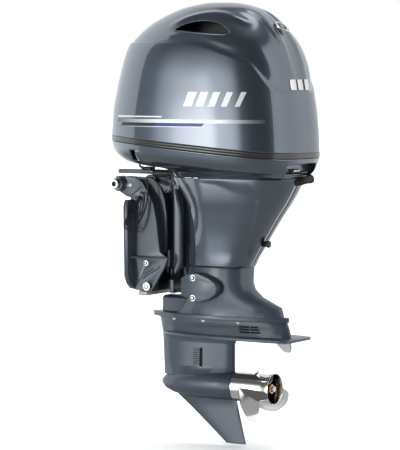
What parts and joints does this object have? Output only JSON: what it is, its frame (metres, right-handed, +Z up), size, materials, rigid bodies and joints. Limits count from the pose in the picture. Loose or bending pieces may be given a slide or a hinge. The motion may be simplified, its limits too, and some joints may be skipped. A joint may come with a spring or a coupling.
{
  "type": "outboard motor",
  "caption": "Long-shaft outboard motor with a steering and tilting transom bracket, lift-off cowl, bevel gear lower unit and stainless propeller.",
  "frame": {"origin": "middle of the transom's top edge on the transom's aft face, where the clamp brackets bear", "axes": "+X aft, +Y starboard, +Z up"},
  "size_m": [0.823, 0.4884, 1.619],
  "materials": {
    "cowl_paint": "clear-coated metallic slate blue-grey",
    "casting_paint": "painted metallic slate blue-grey",
    "black_plastic": "moulded matt black",
    "rubber": "black rubber",
    "stainless": "machined stainless steel",
    "polished_stainless": "mirror-polished stainless steel",
    "cast_aluminium": "as cast",
    "brass": "machined",
    "zinc": "cast zinc anode",
    "gear_steel": "case-hardened steel"
  },
  "bodies": {
    "clamp": {"clamp_bracket_port": "casting_paint", "clamp_bracket_starboard": "casting_paint", "tilt_tube": "stainless", "tilt_nut_port": "stainless", "tilt_nut_starboard": "stainless", "trim_base": "black_plastic", "tilt_cylinder": "black_plastic", "trim_motor": "black_plastic", "lower_pivot_pin": "stainless", "bracket_anode": "zinc", "trim_sender_lead": "rubber"},
    "ram": {"tilt_ram": "polished_stainless"},
    "swivel": {"swivel_bracket": "casting_paint"},
    "motor": {"steering_arm": "casting_paint", "lower_yoke": "casting_paint", "upper_mount_port": "rubber", "upper_mount_starboard": "rubber", "lower_mount_port": "rubber", "lower_mount_starboard": "rubber", "lower_mount_cover_port": "casting_paint", "lower_mount_cover_starboard": "casting_paint", "bottom_cowl": "cowl_paint", "cowl_seal": "rubber", "latch_recess": "cowl_paint", "engine_harness": "rubber", "harness_connector": "black_plastic", "flush_boot": "black_plastic", "idle_outlet": "rubber", "apron_port": "cowl_paint", "apron_starboard": "cowl_paint", "telltale_nozzle": "black_plastic", "exhaust_guide": "cast_aluminium", "upper_casing": "casting_paint", "engine_block": "cast_aluminium", "cylinder_head": "cast_aluminium", "intake_silencer": "black_plastic", "starter_motor": "black_plastic", "flywheel_cover": "black_plastic", "driveshaft_housing": "casting_paint", "gearcase": "casting_paint", "inlet_grille_port": "casting_paint", "inlet_grille_starboard": "casting_paint", "trim_tab": "zinc", "water_pump": "black_plastic", "bearing_carrier": "cast_aluminium"},
    "top": {"top_cowl": "cowl_paint", "vent_duct_port": "black_plastic", "vent_duct_starboard": "black_plastic", "cowl_emblem": "cast_aluminium"},
    "latch": {"latch_lever": "black_plastic"},
    "drive": {"flywheel": "gear_steel", "drive_shaft": "gear_steel", "pinion": "gear_steel"},
    "forward": {"forward_gear": "gear_steel"},
    "reverse": {"reverse_gear": "gear_steel"},
    "prop": {"prop_shaft": "stainless", "propeller": "polished_stainless", "prop_nut": "brass"},
    "clutch": {"dog_clutch": "gear_steel"},
    "shift": {"shift_rod": "stainless"}
  },
  "joints": [
    {"name": "tilt", "type": "hinge", "parent": "clamp", "child": "swivel", "pos_m": [-0.045, 0, 0.048], "axis": [0, -1, 0], "range_deg": [0, 66]},
    {"name": "steer", "type": "hinge", "parent": "swivel", "child": "motor", "pos_m": [0.118, 0, 0], "axis": [0, 0, 1], "range_deg": [-32, 32]},
    {"name": "ram_slide", "type": "slide", "parent": "clamp", "child": "ram", "axis": [0, 0, 1], "range_m": [0, 0.11]},
    {"name": "cowl_lift", "type": "slide", "parent": "motor", "child": "top", "axis": [0, 0, 1], "range_m": [0, 0.45]},
    {"name": "latch_turn", "type": "hinge", "parent": "motor", "child": "latch", "pos_m": [0.622, 0, 0.113], "axis": [0, -1, 0], "range_deg": [0, 70]},
    {"name": "drive_spin", "type": "hinge", "parent": "motor", "child": "drive", "pos_m": [0.235, 0, 0], "axis": [0, 0, 1], "continuous": true},
    {"name": "forward_spin", "type": "hinge", "parent": "motor", "child": "forward", "pos_m": [0.235, 0, -0.693], "axis": [1, 0, 0], "continuous": true},
    {"name": "reverse_spin", "type": "hinge", "parent": "motor", "child": "reverse", "pos_m": [0.235, 0, -0.693], "axis": [1, 0, 0], "continuous": true},
    {"name": "prop_spin", "type": "hinge", "parent": "motor", "child": "prop", "pos_m": [0.235, 0, -0.693], "axis": [1, 0, 0], "continuous": true},
    {"name": "clutch_slide", "type": "slide", "parent": "prop", "child": "clutch", "axis": [1, 0, 0], "range_m": [-0.004, 0.004]},
    {"name": "shift_turn", "type": "hinge", "parent": "motor", "child": "shift", "pos_m": [0.18, 0, 0], "axis": [0, 0, 1], "range_deg": [-30, 30]}
  ],
  "couplings": [
    {"joint": "ram_slide", "follows": "tilt", "m_per_rad": 0.0946},
    {"joint": "forward_spin", "follows": "drive_spin", "ratio": 0.46429},
    {"joint": "reverse_spin", "follows": "drive_spin", "ratio": -0.46429},
    {"joint": "shift_turn", "follows": "clutch_slide", "rad_per_m": 130.9}
  ]
}
